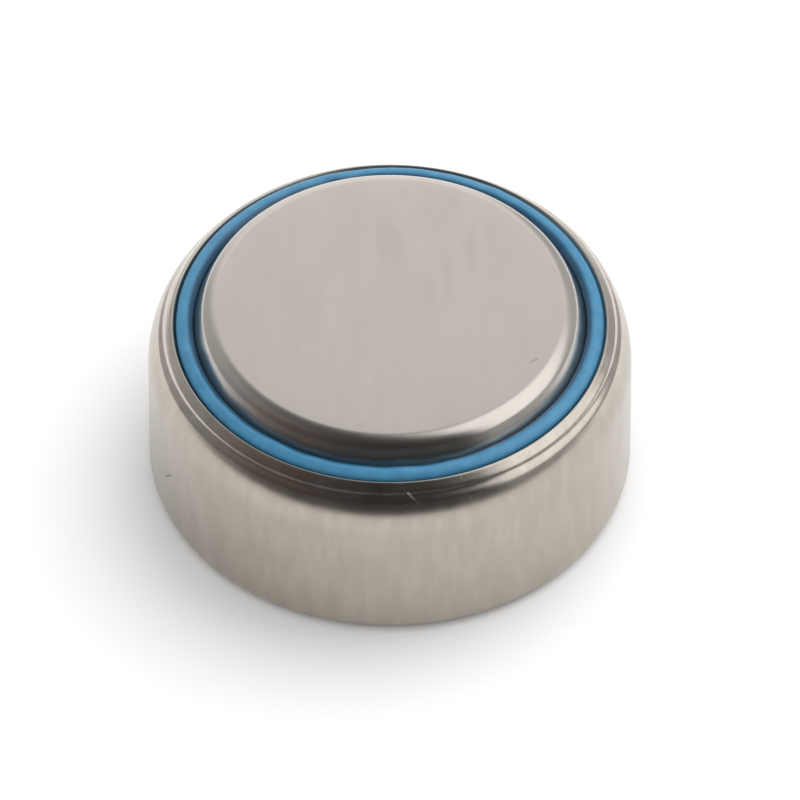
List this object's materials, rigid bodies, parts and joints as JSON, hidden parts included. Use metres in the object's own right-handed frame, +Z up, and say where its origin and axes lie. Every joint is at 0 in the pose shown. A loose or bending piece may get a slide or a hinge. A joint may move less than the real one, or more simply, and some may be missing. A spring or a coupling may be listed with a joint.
{
  "type": "zinc-air button cell",
  "caption": "Round zinc-air button cell: crimped nickel-plated can, blue sealing gasket and raised flat cap, with air holes in the flat underside.",
  "frame": {"origin": "centre of the flat positive face that the cell rests on", "axes": "+Z up the cell's axis, from the positive face towards the negative cap"},
  "size_m": [0.0116, 0.0116, 0.0052],
  "materials": {
    "nickel_can": "drawn satin nickel plate",
    "nylon_blue": "smooth moulded nylon",
    "nickel_cap": "fine satin nickel plate",
    "zinc_gel": "matt grey paste",
    "cellulose": "fibrous",
    "polymer_film": "smooth film",
    "carbon": "matt pressed powder",
    "nickel_wire": "bright wire",
    "ptfe_white": "soft porous film",
    "filter_paper": "porous paper"
  },
  "bodies": {
    "root": {"cathode_can": "nickel_can", "gasket": "nylon_blue", "anode_cap": "nickel_cap", "zinc_gel": "zinc_gel", "separator_absorbent": "cellulose", "separator_barrier": "polymer_film", "cathode_catalyst": "carbon", "collector_mesh": "nickel_wire", "hydrophobic_membrane": "ptfe_white", "diffusion_membrane": "ptfe_white", "air_paper": "filter_paper"}
  },
  "joints": []
}
